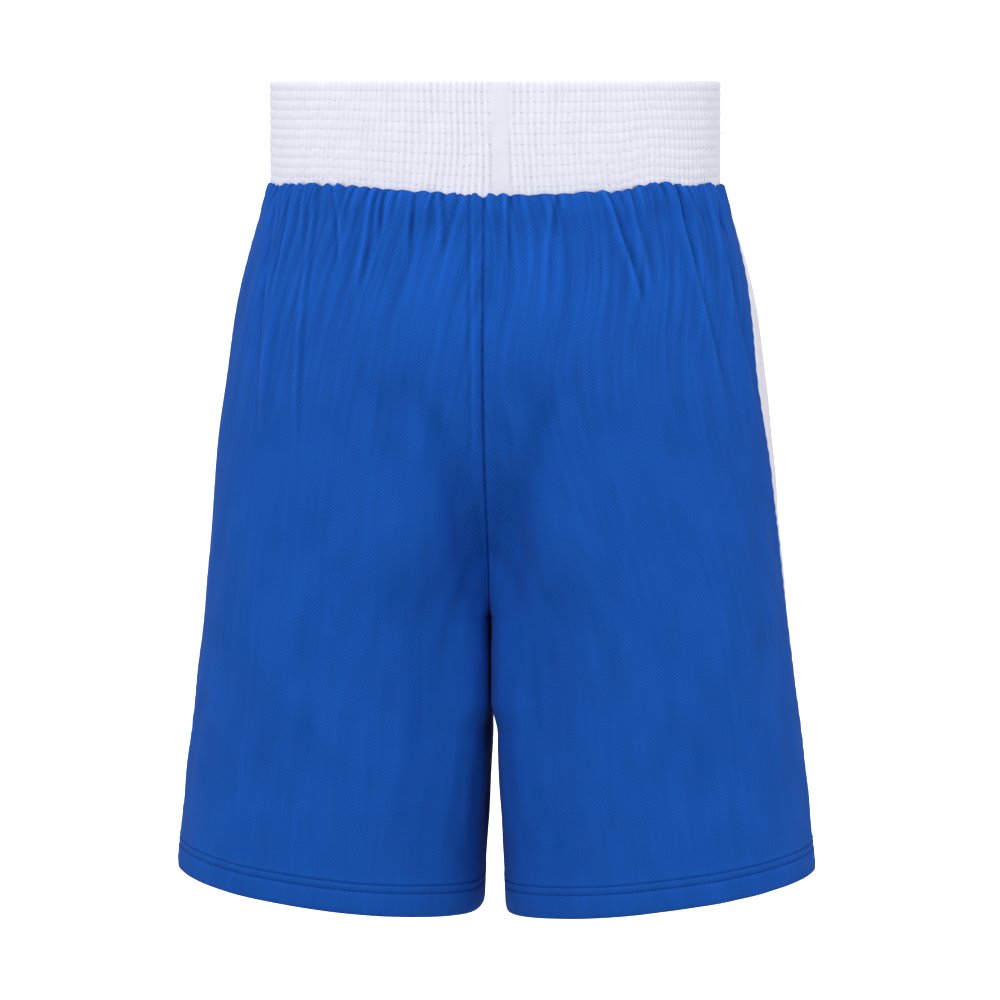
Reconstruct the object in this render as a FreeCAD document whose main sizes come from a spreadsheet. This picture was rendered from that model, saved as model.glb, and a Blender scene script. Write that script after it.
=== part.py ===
"""Boxing shorts: a wide stitched elastic waistband, gathered leg panels, a side stripe on each leg and turned hems.

The frame is +Z up with the origin at the middle of the waist opening, level with the top rim. The wearer
faces -Y, so +X is the wearer's left. Every height is given as a drop below the rim, in millimetres.
A seat half and a leg half stand for each long cloth piece, parted along a cylinder about the hip axis.
"""
import FreeCAD, Part
import Sketcher
import math
import os

Vector = FreeCAD.Vector

# name: (drop, outer edge, inner edge, half depth, shift to the back, tilt in degrees) of one leg tube.
# The inner edge is negative above the fork, where the tube is cut off at the centre seam.
STATIONS = {
    "waist": (68, 148, -121, 106, 0, 0),
    "yoke": (114, 161, -118, 114, 2, 0),
    "hip": (160, 171, -111, 119, 4, 0),
    "seat": (240, 181.5, -75, 119.5, 5, 0.5),
    "under": (295, 186, -30, 117.5, 4, 1.2),
    "fork": (349, 190.5, 0.6, 114, 2, 2.2),
    "thigh": (430, 199, 2.6, 111, 1, 4.4),
    "hem": (531, 208.5, 8, 109, 0, 7.6),
}
STATION_FIELDS = ("drop", "outer", "inner", "depth", "shift", "tilt")

SIZES = {
    "band_half_width": 147.5,
    "band_half_depth": 106,
    "band_height": 68,
    "band_cloth": 0.9,
    "elastic_thickness": 1.4,
    "elastic_margin": 2,
    "lining_cloth": 0.7,
    "stitch_rows": 10,
    "stitch_thread": 0.5,
    "join_width": 10,
    "join_edge": 1,
    "join_height": 52,
    "join_drop": 4,
    "panel_cloth": 0.9,
    "layer_gap": 0.25,
    "seam_gap": 0.4,
    "allowance_width": 8,
    "allowance_cloth": 1.2,
    "waist_allowance_height": 10,
    "waist_allowance_drop": 59,
    "overlock_height": 6,
    "stripe_width": 50,
    "stripe_edge_at_waist": 20,
    "stripe_edge_at_hem": 6,
    "hem_turn": 22,
    "hem_row_low": 15,
    "hem_row_high": 20,
    "hem_thread": 0.6,
    "inseam_start": 10,
    "swing_axis_drop": 249,
    "swing_radius": 143,
    "swing_gap": 1.5,
    "label_width": 32,
    "label_height": 24,
    "label_thickness": 0.6,
    "label_drop": 14,
    "label_corner": 2,
    "label_inset": 4.5,
}

doc = FreeCAD.newDocument("boxing_shorts")
sheet = doc.addObject("Spreadsheet::Sheet", "Sizes")
made = {}
values = {}


def fill_sheet():
    """Writes every driving dimension to the sheet with its name beside it, and reads them all back."""
    cells = dict(SIZES)
    for station, numbers in STATIONS.items():
        for field, number in zip(STATION_FIELDS, numbers):
            cells[station + "_" + field] = number
    for row, (alias, number) in enumerate(cells.items(), start=1):
        sheet.set("A%d" % row, alias)
        sheet.set("B%d" % row, str(number))
        sheet.setAlias("B%d" % row, alias)
    doc.recompute()
    for alias in cells:
        values[alias] = float(sheet.get(alias))


def size(alias):
    """A driving dimension, as the sheet holds it."""
    return values[alias]


def publish(thing, label):
    """Names a finished sub-part, which gives its file's name."""
    thing.Label = label
    made[label] = thing
    return thing


# ---------------------------------------------------------------- the leg tube's surface


def eased(drop, field):
    """A field of the stations at any drop, on a smooth curve through them."""
    drops = [size(s + "_drop") for s in STATIONS]
    values = [size(s + "_" + field) for s in STATIONS]
    last = len(drops) - 1
    i = max(k for k in range(last) if k == 0 or drops[k] <= drop)
    slopes = []
    for k in (i, i + 1):
        before, after = max(k - 1, 0), min(k + 1, last)
        slopes.append((values[after] - values[before]) / (drops[after] - drops[before]))
    span = drops[i + 1] - drops[i]
    t = (drop - drops[i]) / span
    return (
        (2 * t**3 - 3 * t**2 + 1) * values[i]
        + (t**3 - 2 * t**2 + t) * span * slopes[0]
        + (3 * t**2 - 2 * t**3) * values[i + 1]
        + (t**3 - t**2) * span * slopes[1]
    )


def section(drop, depth):
    """The tube's oval at a drop, taken in by depth: centre x and y, both radii, and its tilt."""
    outer, inner = eased(drop, "outer"), eased(drop, "inner")
    tilt = math.radians(eased(drop, "tilt"))
    radius_x = (outer - inner) / 2 / math.cos(tilt) - depth
    return (outer + inner) / 2, eased(drop, "shift"), radius_x, eased(drop, "depth") - depth, tilt


def on_tube(angle, drop, depth):
    """A point of the left tube, depth under its outer face. Angle 0 is the outer side, 90 the back."""
    x, y, radius_x, radius_y, tilt = section(drop, depth)
    across = radius_x * math.cos(angle)
    return Vector(
        x + across * math.cos(tilt),
        y + radius_y * math.sin(angle),
        -drop + across * math.sin(tilt),
    )


def inner_angle(drop, depth):
    """The tube's angle at the centre seam, or at the inseam below the fork."""
    x, _, radius_x, radius_y, tilt = section(drop, depth)
    gap = size("seam_gap")
    cosine = max(-1, (gap - x) / (radius_x * math.cos(tilt)))
    return min(math.acos(cosine), math.pi - gap / radius_y)


def seam_line(side, inset=0):
    """The centre seam and inseam, on the back (side 1) or the front (-1), moved over the cloth by inset."""

    def angle(drop, depth):
        return side * (inner_angle(drop, depth) - inset / eased(drop, "depth"))

    return angle


def stripe_edge(forward):
    """A line down the outer side, so far forward of the stripe's back edge, which slants to the front."""
    waist, hem = size("stripe_edge_at_waist"), size("stripe_edge_at_hem")
    high, low = size("band_height"), size("hem_drop")

    def angle(drop, depth):
        _, y, _, radius_y, _ = section(drop, depth)
        edge = waist + (hem - waist) * (drop - high) / (low - high) - forward
        return math.asin((edge - y) / radius_y)

    return angle


def swing_cut(angle_of, depth, radius):
    """The drop at which a line down the cloth leaves the cylinder of that radius about the hip axis."""
    axis = size("swing_axis_drop")
    low, high = axis, size("hem_drop")
    for _ in range(40):
        middle = (low + high) / 2
        point = on_tube(angle_of(middle, depth), middle, depth)
        if math.hypot(point.y, point.z + axis) < radius:
            low = middle
        else:
            high = middle
    return low


# ---------------------------------------------------------------- closed cloth solids


def curve_through(points):
    """A smooth curve through points. Curves through equally many points share their knots."""
    curve = Part.BSplineCurve()
    curve.interpolate(Points=points, Parameters=even(len(points)))
    return curve


def ruled(curve_a, curve_b):
    """The face between two curves that have the same knots."""
    poles = [curve_a.getPoles(), curve_b.getPoles()]
    across = [curve_a.getMultiplicities(), [0, 1], curve_a.getKnots(), False, False, 1, curve_a.Degree]
    face = Part.BSplineSurface()
    face.buildFromPolesMultsKnots(poles, [2, 2], *across)
    return face.toShape()


def slab(outside, inside):
    """A closed solid between two faces of cloth, each given as rows of points from top to bottom."""
    skins = [[curve_through(row) for row in rows] for rows in (outside, inside)]
    for end in (0, -1):
        skins.append([curve_through([a[end], b[end]]) for a, b in zip(outside, inside)])
    faces = [ruled(skins[0][end], skins[1][end]) for end in (0, -1)]
    for skin in skins:
        faces += [ruled(upper, lower) for upper, lower in zip(skin, skin[1:])]
    shell = Part.makeShell(faces)
    shell.sewShape()
    solid = Part.makeSolid(Part.Shell(shell.Faces))
    if solid.Volume < 0:
        solid.reverse()
    return solid


def cloth(edge_a, edge_b, top, bottom, depths, columns, shares):
    """Cloth of the left tube between two edges, from top to bottom, at the rows that shares gives."""
    skins = []
    for depth in depths:
        lines = []
        for i in range(columns):

            def angle_of(drop, at_depth, across=i / (columns - 1)):
                start = edge_a(drop, at_depth)
                return start + across * (edge_b(drop, at_depth) - start)

            high, low = top(angle_of, depth), bottom(angle_of, depth)
            drops = [high + share * (low - high) for share in shares]
            lines.append([on_tube(angle_of(drop, depth), drop, depth) for drop in drops])
        skins.append([list(row) for row in zip(*lines)])
    return slab(*skins)


def even(count):
    """Evenly spaced rows, as shares of the way down."""
    return [i / (count - 1) for i in range(count)]


def towards(share, count):
    """Rows from the top to a share of the way down, which crowd together towards it."""
    return [share * (1 - (1 - i / count) ** 1.8) for i in range(count + 1)]


def at_drop(drop):
    return lambda angle_of, depth: drop


def at_swing(radius):
    return lambda angle_of, depth: swing_cut(angle_of, depth, radius)


def both_sides(label, solids):
    """A left piece from its solids, and the right piece as its mirror image."""
    for side in ("left", "right"):
        shapes = solids
        if side == "right":
            shapes = [s.mirror(Vector(0, 0, 0), Vector(1, 0, 0)) for s in solids]
        feature = doc.addObject("Part::Feature", side + "_" + label)
        feature.Shape = shapes[0] if len(shapes) == 1 else Part.makeCompound(shapes)
        publish(feature, side + "_" + label)


def long_piece(label, edge_a, edge_b, span, depths, columns, seat_rows, leg_rows):
    """A cloth piece that runs from seat to leg, as its seat half and its leg half."""
    top, bottom = span
    radius = size("swing_radius")
    halves = (
        ("seat", at_drop(top), at_swing(radius), seat_rows),
        ("leg", at_swing(radius + size("swing_gap")), at_drop(bottom), leg_rows),
    )
    for half, start, end, rows in halves:
        both_sides(label + "_" + half, [cloth(edge_a, edge_b, start, end, depths, columns, rows)])


# ---------------------------------------------------------------- the sub-parts


def oval_ring(name, inset, thickness, height, drop):
    """A ring of the waistband's oval, inset from its outer face. The sizes are expressions."""
    prisms = []
    for face, shrink in (("outer", inset), ("inner", "(%s) + (%s)" % (inset, thickness))):
        oval = doc.addObject("Part::Ellipse", name + "_" + face + "_oval")
        oval.setExpression("MajorRadius", "Sizes.band_half_width - (%s)" % shrink)
        oval.setExpression("MinorRadius", "Sizes.band_half_depth - (%s)" % shrink)
        prism = doc.addObject("Part::Extrusion", name + "_" + face)
        prism.Base = oval
        prism.DirMode = "Custom"
        prism.Dir = Vector(0, 0, -1)
        prism.setExpression("LengthFwd", height)
        prism.Solid = True
        prisms.append(prism)
    ring = doc.addObject("Part::Cut", name)
    ring.Base, ring.Tool = prisms
    ring.setExpression("Placement.Base.z", "-(%s)" % drop)
    return ring


def window(name, left, width):
    """An upright block at the back of the waistband, from x = left, which picks a stretch of a ring."""
    block = doc.addObject("Part::Box", name)
    block.setExpression("Length", width)
    block.setExpression("Width", "2 * Sizes.band_half_depth")
    block.setExpression("Height", "Sizes.band_height")
    block.setExpression("Placement.Base.x", left)
    block.setExpression("Placement.Base.z", "-Sizes.band_height")
    return block


def waistband():
    """Outer cloth, wide elastic and lining, quilted together by rows of stitching that show outside."""
    elastic_height = "Sizes.band_height - 2 * Sizes.elastic_margin"
    over_elastic = "Sizes.band_cloth + Sizes.elastic_thickness"
    layers = (
        ("waistband_outer", "0", "Sizes.band_cloth", "Sizes.band_height", "0"),
        ("waistband_elastic", "Sizes.band_cloth", "Sizes.elastic_thickness", elastic_height, "Sizes.elastic_margin"),
        ("waistband_lining", over_elastic, "Sizes.lining_cloth", "Sizes.band_height", "0"),
    )
    for layer in layers:
        publish(oval_ring(*layer), layer[0])

    thread = "Sizes.stitch_thread"
    rows = []
    for row in range(1, int(size("stitch_rows")) + 1):
        drop = "Sizes.band_height * %d / (Sizes.stitch_rows + 1) - %s / 2" % (row, thread)
        rows.append(oval_ring("stitch_row_%d" % row, "-" + thread, thread, thread, drop))
    group = doc.addObject("Part::Compound", "waistband_stitching")
    group.Links = rows
    publish(group, "waistband_stitching")


def band_join():
    """Where the band's two ends meet at the back: a pressed allowance inside, two stitch lines outside."""
    inside = "Sizes.band_cloth + Sizes.elastic_thickness + Sizes.lining_cloth"
    far_edge = "-Sizes.join_edge - Sizes.join_width"
    ring = oval_ring("join_ring", inside, "Sizes.allowance_cloth", "Sizes.join_height", "Sizes.join_drop")
    allowance = doc.addObject("Part::Common", "band_join_allowance")
    allowance.Base, allowance.Tool = ring, window("join_window", far_edge, "Sizes.join_width")
    publish(allowance, "band_join_allowance")

    thread = "Sizes.stitch_thread"
    ring = oval_ring("join_thread_ring", "-2 * " + thread, thread, "Sizes.band_height", "0")
    lines = []
    for name, left in (("far_line", far_edge), ("near_line", "-Sizes.join_edge")):
        line = doc.addObject("Part::Common", name)
        line.Base, line.Tool = ring, window(name + "_window", left, thread)
        lines.append(line)
    pair = doc.addObject("Part::Compound", "band_join_stitching")
    pair.Links = lines
    publish(pair, "band_join_stitching")


def waist_seam():
    """The legs' gathered top edge, turned up against the lining, and the overlock thread round it."""
    inside = "Sizes.band_cloth + Sizes.elastic_thickness + Sizes.lining_cloth"
    cloth_size, thread = "Sizes.allowance_cloth", "Sizes.stitch_thread"
    drop = "Sizes.waist_allowance_drop"
    rings = (
        ("waist_seam_allowance", inside, cloth_size, "Sizes.waist_allowance_height", drop),
        ("waist_overlock_thread", inside + " + " + cloth_size, thread, "Sizes.overlock_height", drop),
    )
    for ring in rings:
        publish(oval_ring(*ring), ring[0])


def size_label():
    """A blank woven label inside the back of the band, over the join."""
    body = doc.addObject("PartDesign::Body", "size_label")
    outline = body.newObject("Sketcher::SketchObject", "label_outline")
    plane = [feature for feature in body.Origin.OriginFeatures if feature.Role == "XZ_Plane"][0]
    outline.AttachmentSupport = [(plane, "")]
    outline.MapMode = "FlatFace"
    corners = [Vector(0, 0), Vector(10, 0), Vector(10, 10), Vector(0, 10)]
    for i in range(4):
        outline.addGeometry(Part.LineSegment(corners[i], corners[(i + 1) % 4]), False)
    for i in range(4):
        outline.addConstraint(Sketcher.Constraint("Coincident", i, 2, (i + 1) % 4, 1))
        outline.addConstraint(Sketcher.Constraint("Vertical" if i % 2 else "Horizontal", i))
    driven = (
        (("DistanceX", 0, 1, 0, 2), "Sizes.label_width"),
        (("DistanceY", 1, 1, 1, 2), "Sizes.label_height"),
        (("DistanceX", 0, 1, -1, 1), "Sizes.label_width / 2"),
        (("DistanceY", 2, 2, -1, 1), "Sizes.label_drop"),
    )
    for place, expression in driven:
        index = outline.addConstraint(Sketcher.Constraint(*place, 10))
        outline.setExpression("Constraints[%d]" % index, expression)
    doc.recompute()

    pad = body.newObject("PartDesign::Pad", "label_cloth")
    pad.Profile = outline
    pad.setExpression("Length", "Sizes.label_thickness")
    doc.recompute()
    edges = enumerate(pad.Shape.Edges, start=1)
    corner_edges = ["Edge%d" % n for n, edge in edges if abs(edge.tangentAt(edge.FirstParameter).y) > 0.9]
    fillet = body.newObject("PartDesign::Fillet", "label_corners")
    fillet.Base = (pad, corner_edges)
    fillet.setExpression("Radius", "Sizes.label_corner")
    body.Tip = fillet
    body.setExpression("Placement.Base.y", "Sizes.band_half_depth - Sizes.label_inset")
    publish(body, "size_label")


def panels():
    """The back panel, front panel and side stripe of each leg."""
    top, fork, gap = size("band_height"), size("fork_drop"), size("seam_gap") / 2
    width = size("stripe_width")
    depths = (0, size("panel_cloth"))
    share = (fork - top) / (swing_cut(seam_line(1), 0, size("swing_radius")) - top)
    seat_rows = towards(share, 18) + [share + (1 - share) * i / 3 for i in (1, 2, 3)]
    pieces = (
        ("back_panel", stripe_edge(-gap), seam_line(1), 13, seat_rows),
        ("front_panel", stripe_edge(width + gap), seam_line(-1), 13, seat_rows),
        ("side_stripe", stripe_edge(gap), stripe_edge(width - gap), 5, even(14)),
    )
    for label, edge_a, edge_b, columns, rows in pieces:
        span = (top, size("hem_drop"))
        long_piece(label, edge_a, edge_b, span, depths, columns, rows, even(9))


def seams():
    """The seam allowances, pressed flat against the inside of the cloth."""
    out = size("panel_cloth") + size("layer_gap")
    depths = (out, out + size("allowance_cloth"))
    half, width = size("allowance_width") / 2, size("stripe_width")
    top, bottom = size("band_height") + 2, size("hem_drop") - size("hem_turn") - 2
    for label, middle in (("back_side_seam", 0), ("front_side_seam", width)):
        edges = stripe_edge(middle - half), stripe_edge(middle + half)
        long_piece(label, *edges, (top, bottom), depths, 3, even(14), even(7))

    fork = size("fork_drop")
    for label, side in (("centre_back_seam", 1), ("centre_front_seam", -1)):
        edges = seam_line(side, half), seam_line(side)
        strip = cloth(*edges, at_drop(top), at_drop(fork - 1), depths, 3, towards(1, 18))
        pair = doc.addObject("Part::Feature", label)
        pair.Shape = Part.makeCompound([strip, strip.mirror(Vector(0, 0, 0), Vector(1, 0, 0))])
        publish(pair, label)

    def inseam_edge(side):
        return lambda drop, depth: math.pi + side * half / eased(drop, "depth")

    span = (fork + size("inseam_start"), bottom)
    long_piece("inseam", inseam_edge(-1), inseam_edge(1), span, depths, 3, even(4), even(7))


def hems():
    """The turned-up hem inside each leg, and its two rows of stitching outside."""
    out, bottom = size("panel_cloth") + size("layer_gap"), size("hem_drop")
    gap, width = size("seam_gap") / 2, size("stripe_width")
    depths = (out, out + size("panel_cloth"))
    span = (at_drop(bottom - size("hem_turn")), at_drop(bottom))
    pieces = (
        (stripe_edge(-gap), seam_line(1), 13),
        (stripe_edge(width + gap), seam_line(-1), 13),
        (stripe_edge(gap), stripe_edge(width - gap), 5),
    )
    both_sides("hem_turn", [cloth(a, b, *span, depths, columns, even(3)) for a, b, columns in pieces])

    thread = size("hem_thread")
    around = [math.radians(7.5 * i) for i in range(48)]
    threads = []
    for row in ("hem_row_low", "hem_row_high"):
        drop = bottom - size(row)
        path = Part.BSplineCurve()
        path.interpolate([on_tube(a, drop, -thread) for a in around], PeriodicFlag=True)
        start = path.value(0)
        corners = [(-1, -1), (1, -1), (1, 1), (-1, 1), (-1, -1)]
        profile = Part.makePolygon([start + Vector(x, 0, z) * thread / 2 for x, z in corners])
        threads.append(Part.Wire([path.toShape()]).makePipeShell([profile], True, False))
    both_sides("hem_stitching", threads)


def check():
    """Stops if any object failed, or any sub-part isn't a closed, valid solid."""
    doc.recompute()
    failed = [thing.Name for thing in doc.Objects if {"Invalid", "Error"} & set(thing.State)]
    for label, thing in made.items():
        shape = thing.Shape
        if shape.isNull() or not shape.isValid() or not shape.Solids or shape.Volume <= 0:
            failed.append(label)
    if failed:
        raise SystemExit("these failed: %s" % failed)


def export():
    """Writes each sub-part's shape to its own STEP file."""
    os.makedirs("parts", exist_ok=True)
    for label, thing in made.items():
        thing.Shape.exportStep("parts/%s.step" % label)
        print("%-26s %2d solids %9.1f mm3" % (label, len(thing.Shape.Solids), thing.Shape.Volume))


fill_sheet()
waistband()
band_join()
waist_seam()
size_label()
panels()
seams()
hems()
check()
export()
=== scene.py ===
"""Boxing shorts: a quilted white waistband, blue mesh legs gathered into it, side stripes and hems.

The frame is the CAD model's: +Z up, the origin at the middle of the waistband's top rim, the back of the
shorts at +Y and the wearer's left at +X. Lengths in this script are millimetres until they reach a mesh.
A place on the cloth is an angle round the left leg's tube (0 at the outer side, 90 degrees at the back) and
a drop below the rim. The right leg is the mirror image with folds of its own.
"""
import math

import bpy
import numpy as np
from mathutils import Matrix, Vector


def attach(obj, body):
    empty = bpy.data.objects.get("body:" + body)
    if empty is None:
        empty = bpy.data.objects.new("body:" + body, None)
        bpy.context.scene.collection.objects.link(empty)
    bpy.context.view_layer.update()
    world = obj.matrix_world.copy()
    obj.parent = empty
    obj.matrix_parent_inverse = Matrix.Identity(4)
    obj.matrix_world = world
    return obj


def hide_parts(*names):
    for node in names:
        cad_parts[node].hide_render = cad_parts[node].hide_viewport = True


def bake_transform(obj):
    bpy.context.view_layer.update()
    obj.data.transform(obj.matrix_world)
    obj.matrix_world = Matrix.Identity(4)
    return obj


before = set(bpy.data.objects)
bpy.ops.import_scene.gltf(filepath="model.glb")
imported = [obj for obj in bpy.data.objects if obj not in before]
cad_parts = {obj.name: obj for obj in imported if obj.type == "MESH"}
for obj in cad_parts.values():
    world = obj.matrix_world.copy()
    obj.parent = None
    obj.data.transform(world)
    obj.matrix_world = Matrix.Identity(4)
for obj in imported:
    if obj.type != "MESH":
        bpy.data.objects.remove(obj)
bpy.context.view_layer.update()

MM = 0.001
BAND_HALF_WIDTH, BAND_HALF_DEPTH, BAND_HEIGHT = 147.5, 106, 68
BAND_THICKNESS, BAND_GIRTH = 3, 804
CHANNELS = 11
RIB_PITCH, RIB_LEAN = 4.1, 8.0
FORK, HEM = 349, 531
HEM_TURN, HEM_ROWS, HEM_GIRTH = 22, (15, 20), 660
STRIPE_WIDTH = 50
ALLOWANCE, ALLOWANCE_CLOTH = 8, 0.9
CLOTH = 0.8
# between the cloth and what lies against its inside: a seam allowance, or the turned-up hem
UNDER_CLOTH, UNDER_HEM = 0.15, 0.12
THREAD, STITCH = 0.28, 3.0
# the near and far edges, in x, of the strip where the waistband's ends are joined
JOIN = (-4.4, -16.4)
LABEL_HALF_WIDTH, LABEL_HEIGHT, LABEL_CORNER = 16.0, 24.0, 2.0
LABEL_DROP, LABEL_INSET = 14, 4.5
BIRDSEYE, OVERLOCK_LOOP = 2.5, 2.4
SIDES = {"left": 1, "right": -1}
# the inner thighs touch down to this drop, and stay this far apart below the fork
TOUCH_UNTIL, THIGH_GAP = 418, 0.02
# the waist seam: how far its middle sags, how wide to the wearer's left and right, its other waves (x, half
# width, drop), and how many scallops go round it
SEAM_SAG, SEAM_SAG_WIDTHS = 5.9, (58, 100)
SEAM_WAVES = ((-83, 10, 1.6), (-108, 15, -3.4))
SCALLOPS, SCALLOP_DEPTH = 42, 1.7
# how far behind the tube's middle the back edge of each side's stripe lies, at these drops
STRIPE_DROPS = (68, 110, 150, 177, 220, 262, 300, 350, 531)
STRIPE_EDGES = {1: (6, 9, 12, 12, 11, 10, 10, 9, 6), -1: (-6, 3, 22, 33, 31, 25, 18, 3, -3)}
BLUE = (0.0085, 0.083, 0.41)
WHITE = (0.82, 0.82, 0.91)

# drop, outer edge, inner edge, half depth, shift to the back and tilt in degrees of the left leg's tube
STATIONS = np.array(
    [
        (68, 148, -121, 106, 0, 0),
        (114, 161, -118, 114, 2, 0),
        (160, 171, -111, 119, 4, 0),
        (240, 181.5, -75, 119.5, 5, 0.5),
        (295, 186, -30, 117.5, 4, 1.2),
        (349, 190.5, 0.6, 114, 2, 2.2),
        (430, 199, 2.6, 111, 1, 4.4),
        (531, 208.5, 8, 109, 0, 7.6),
    ],
    float,
)


# ---------------------------------------------------------------- the leg tube


def smooth(t):
    """Rises smoothly from 0 to 1 as t does."""
    t = np.clip(t, 0, 1)
    return t * t * (3 - 2 * t)


def hill(x, middle, width):
    """A smooth hill of height 1 about a middle."""
    return np.exp(-(((x - middle) / width) ** 2))


def eased(drop, column):
    """A column of the stations at any drop, on a smooth curve through them."""
    drops, values = STATIONS[:, 0], STATIONS[:, column]
    slopes = np.gradient(values, edge_order=1)
    slopes[1:-1] = (values[2:] - values[:-2]) / (drops[2:] - drops[:-2])
    slopes[0] = (values[1] - values[0]) / (drops[1] - drops[0])
    slopes[-1] = (values[-1] - values[-2]) / (drops[-1] - drops[-2])
    i = np.clip(np.searchsorted(drops, drop, side="right") - 1, 0, len(drops) - 2)
    span = drops[i + 1] - drops[i]
    t = (drop - drops[i]) / span
    return (
        (2 * t**3 - 3 * t**2 + 1) * values[i]
        + (t**3 - 2 * t**2 + t) * span * slopes[i]
        + (3 * t**2 - 2 * t**3) * values[i + 1]
        + (t**3 - t**2) * span * slopes[i + 1]
    )


def section(drop):
    """The tube's oval: centre x and y, both radii and tilt."""
    outer, inner, tilt = eased(drop, 1), eased(drop, 2), np.radians(eased(drop, 5))
    return (outer + inner) / 2, eased(drop, 4), (outer - inner) / 2 / np.cos(tilt), eased(drop, 3), tilt


def on_tube(angle, drop):
    """Points of the left tube's plain surface."""
    x, y, radius_x, radius_y, tilt = section(drop)
    across = radius_x * np.cos(angle)
    return np.stack(
        [x + across * np.cos(tilt), y + radius_y * np.sin(angle), -drop + across * np.sin(tilt)], axis=-1
    )


def outward(angle, drop):
    """Unit normals of the plain surface."""
    down = on_tube(angle, drop + 0.1) - on_tube(angle, drop - 0.1)
    around = on_tube(angle + 0.001, drop) - on_tube(angle - 0.001, drop)
    normal = np.cross(down, around)
    return normal / np.linalg.norm(normal, axis=-1, keepdims=True)


def inner_angle(drop):
    """The tube's angle at the centre seam, or at the inseam below the fork."""
    x, _, radius_x, _, tilt = section(drop)
    return np.arccos(np.clip(-x / (radius_x * np.cos(tilt)), -1, 1))


def stripe_angle(side, drop, forward=0.0):
    """The angle of a line down the outer side, so far forward of the stripe's back edge."""
    _, y, _, radius_y, _ = section(drop)
    edge = sum(np.interp(drop + shift, STRIPE_DROPS, STRIPE_EDGES[side]) for shift in (-18, -6, 6, 18)) / 4
    return np.arcsin((edge - forward - y) / radius_y)


def waist_seam(x, y):
    """The drop of the seam between band and legs: lowest at the centre back, in small scallops."""
    turn = np.arctan2(y / BAND_HALF_DEPTH, x / BAND_HALF_WIDTH)
    back = np.sin(turn)
    dip = SEAM_SAG * hill(x, 0, np.where(x > 0, *SEAM_SAG_WIDTHS))
    dip += sum(height * hill(x, middle, width) for middle, width, height in SEAM_WAVES)
    wobble = 0.9 * np.sin(5 * turn) + 0.7 * np.sin(11 * turn + 1.1) + 0.4 * np.sin(23 * turn)
    scallop = np.abs(np.sin(SCALLOPS * turn + wobble)) * (0.8 + 0.4 * np.sin(9 * turn + 0.6))
    at_back = smooth(back * 4) * dip
    at_front = 1.5 * smooth(-back)
    return BAND_HEIGHT + 0.9 + at_back + at_front - SCALLOP_DEPTH * scallop


# ---------------------------------------------------------------- folds

# Folds that can be told apart: x (to the wearer's left) and drop at the top, middle and bottom, then the
# half width, and the height, which is negative for a crease. The steep side is the one that bearing names.
BACK_FOLDS = (
    (((140, 66), (145, 125), (148, 205)), 2.2, -2.4, 1),
    (((133, 66), (141, 125), (145, 215)), 3.0, 2.2, 1),
    (((121, 66), (136, 140), (146, 250)), 2.6, 2.6, 1),
    (((109, 66), (116, 130), (122, 260)), 2.2, 1.3, -1),
    (((128, 66), (131, 80), (135, 112)), 2.0, 1.7, 1),
    (((115, 66), (117, 82), (121, 118)), 2.0, 1.5, -1),
    (((95, 66), (93, 88), (90, 128)), 2.2, 1.4, 1),
    (((70, 66), (75, 95), (82, 150)), 2.2, 1.8, -1),
    (((64, 66), (65, 78), (67, 106)), 1.6, -1.9, 1),
    (((43, 66), (45, 85), (47, 118)), 1.6, -1.9, 1),
    (((30, 66), (28, 90), (30, 120)), 2.4, 1.3, -1),
    (((71, 175), (64, 215), (52, 285)), 9.0, -2.6, 1),
    (((44, 185), (23, 241), (0, 322)), 9.0, -4.5, 1),
    (((-48, 185), (-32, 237), (-4, 322)), 9.0, -4.5, -1),
    (((7, 66), (6, 150), (4, 290)), 2.0, 0.8, 1),
    (((-14, 66), (-14, 85), (-15, 125)), 1.8, 1.2, -1),
    (((-44, 66), (-40, 105), (-38, 160)), 3.0, 1.4, -1),
    (((-72, 66), (-85, 98), (-101, 158)), 2.5, 2.6, -1),
    (((-88, 66), (-98, 105), (-107, 150)), 3.0, 1.9, -1),
    (((-103, 66), (-107, 74), (-114, 96)), 3.0, -2.6, -1),
    (((-117, 66), (-134, 135), (-158, 232)), 2.6, 2.9, -1),
    (((-122, 66), (-130, 82), (-141, 104)), 2.0, 1.9, -1),
    (((-140, 66), (-156, 150), (-181, 272)), 3.0, 3.4, -1),
    (((-144, 66), (-146, 78), (-149, 108)), 2.0, -2.4, -1),
    (((-92, 250), (-93, 330), (-93, 430)), 9.0, 1.4, 1),
    (((120, 300), (126, 380), (128, 470)), 12.0, 1.6, -1),
)
FRONT_FOLDS = (
    (((128, 66), (140, 140), (146, 250)), 4.5, 2.2, 1),
    (((100, 66), (106, 120), (108, 210)), 4.0, 1.6, -1),
    (((62, 66), (60, 110), (56, 170)), 4.0, 1.4, 1),
    (((38, 230), (16, 280), (3, 335)), 10.0, -4.5, 1),
    (((-46, 225), (-20, 280), (-3, 335)), 10.0, -4.5, -1),
    (((-70, 66), (-74, 115), (-80, 190)), 4.0, 1.7, -1),
    (((-112, 66), (-128, 140), (-136, 240)), 4.5, 2.3, 1),
    (((-134, 66), (-152, 120), (-160, 190)), 4.0, 1.9, -1),
    (((95, 260), (100, 370), (104, 480)), 13.0, 1.8, 1),
    (((-105, 270), (-108, 380), (-112, 490)), 13.0, 1.8, -1),
)


def fold_profile(q):
    """A fold's section: a soft rise on one side, a steep fall and a slight hollow on the other."""
    ridge = hill(q, 0, np.where(q < 0, 1.25, 0.6))
    return ridge - 0.4 * hill(q, 1.3, 0.7)


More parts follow.
